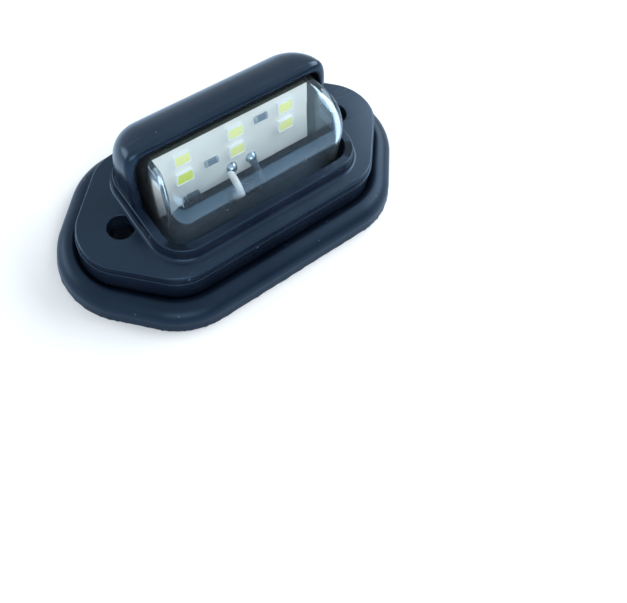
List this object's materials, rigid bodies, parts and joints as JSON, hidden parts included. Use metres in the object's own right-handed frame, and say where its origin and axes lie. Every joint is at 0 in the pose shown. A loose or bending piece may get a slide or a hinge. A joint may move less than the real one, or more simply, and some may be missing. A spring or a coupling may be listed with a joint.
{
  "type": "number plate lamp",
  "caption": "Surface-mounted number plate lamp with a hooded dark housing, clear lens, light-emitting diodes on a board, a rubber pad and two wires.",
  "frame": {"origin": "centre of the rubber pad's flat back, where the lamp meets the vehicle", "axes": "+X along the lamp, +Z out of the mounting surface, -Y towards the open side of the hood"},
  "size_m": [0.089, 0.05, 0.0736],
  "materials": {
    "pad_rubber": "matt, moulded",
    "housing_plastic": "satin gloss with fine scratches",
    "clear_plastic": "clear, polished plastic",
    "cover_plastic": "matt",
    "board_white": "white solder mask",
    "led_body": "white moulded package",
    "phosphor_yellow": "clear yellow casting",
    "resistor_grey": "ceramic with a dark coat",
    "diode_black": "moulded epoxy",
    "solder": "bright solder",
    "wire_white": "soft insulation",
    "wire_black": "soft insulation",
    "tie_plastic": "moulded"
  },
  "bodies": {
    "root": {"rubber_pad": "pad_rubber", "housing": "housing_plastic", "lens": "clear_plastic", "back_cover": "cover_plastic", "circuit_board": "board_white", "led_1": "led_body", "led_2": "led_body", "led_3": "led_body", "led_4": "led_body", "led_5": "led_body", "led_6": "led_body", "phosphor_1": "phosphor_yellow", "phosphor_2": "phosphor_yellow", "phosphor_3": "phosphor_yellow", "phosphor_4": "phosphor_yellow", "phosphor_5": "phosphor_yellow", "phosphor_6": "phosphor_yellow", "resistor_1": "resistor_grey", "resistor_2": "resistor_grey", "diode": "diode_black", "solder_joint_1": "solder", "solder_joint_2": "solder", "white_lead": "wire_white", "black_lead": "wire_black", "white_wire": "wire_white", "black_wire": "wire_black", "white_hank": "wire_white", "black_hank": "wire_black", "wire_tie": "tie_plastic"}
  },
  "joints": []
}
